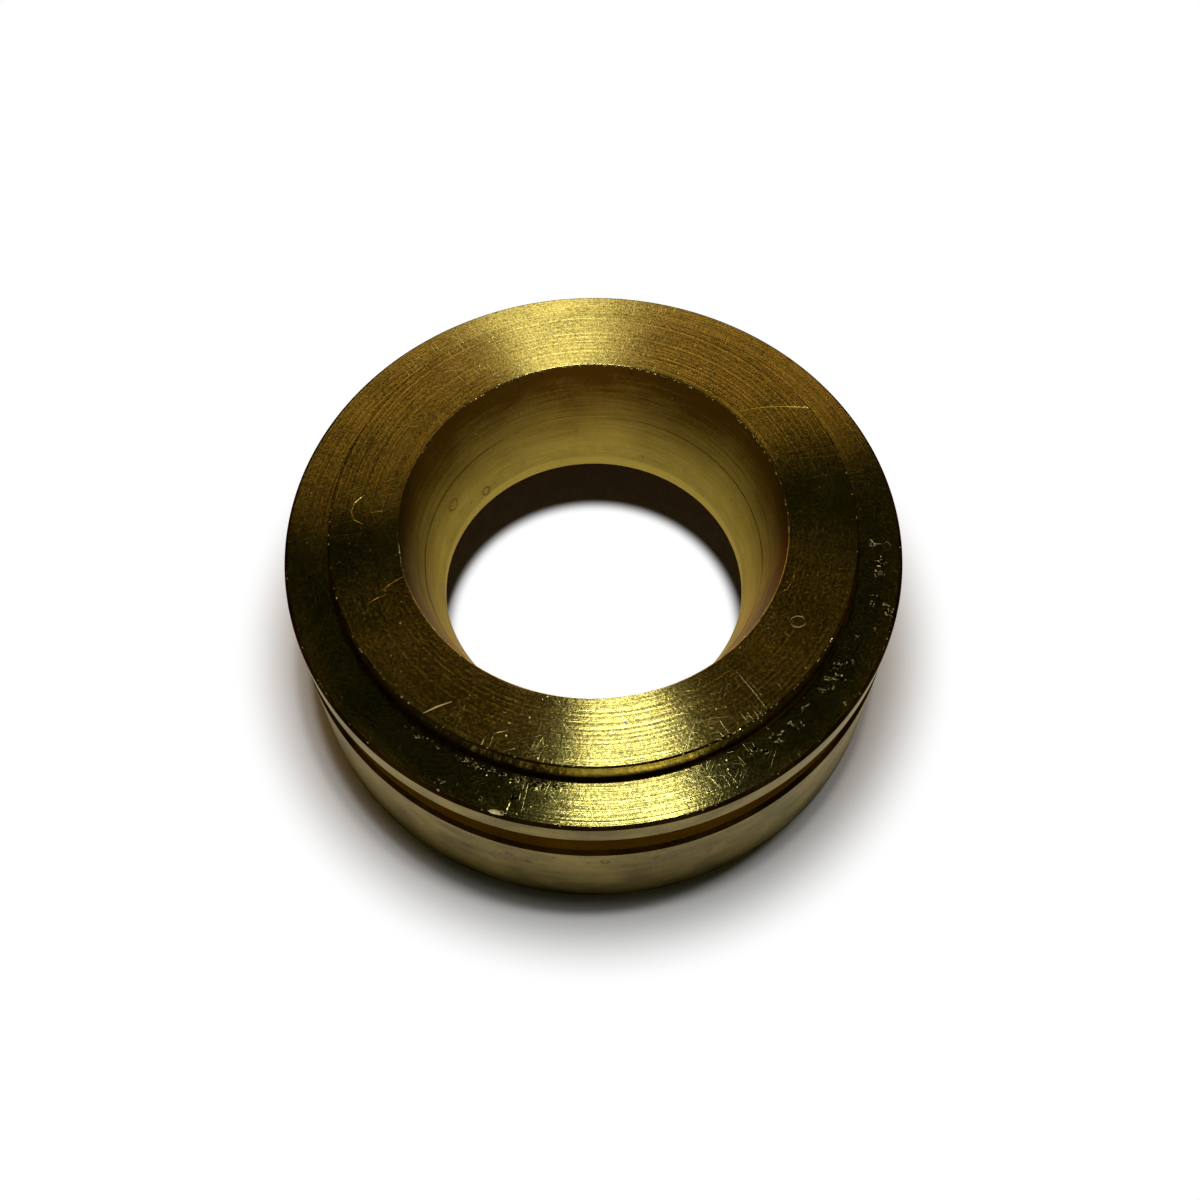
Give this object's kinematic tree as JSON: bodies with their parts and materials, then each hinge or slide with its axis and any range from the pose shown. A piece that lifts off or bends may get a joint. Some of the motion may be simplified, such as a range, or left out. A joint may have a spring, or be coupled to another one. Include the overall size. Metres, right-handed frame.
{
  "type": "pump bottom ring",
  "caption": "Turned brass bottom ring for a plunger pump: stepped round body, outside ring groove, tapered bore with a short lip, seal seat underneath.",
  "frame": {"origin": "centre of the bottom face, on the ring's axis", "axes": "+Z along the axis, from the bottom face towards the raised boss; X and Y are free, the ring is round"},
  "size_m": [0.036, 0.036, 0.0132],
  "materials": {
    "brass": "fine turned, with light tarnish and handling marks"
  },
  "bodies": {
    "root": {"bottom_ring": "brass"}
  },
  "joints": []
}
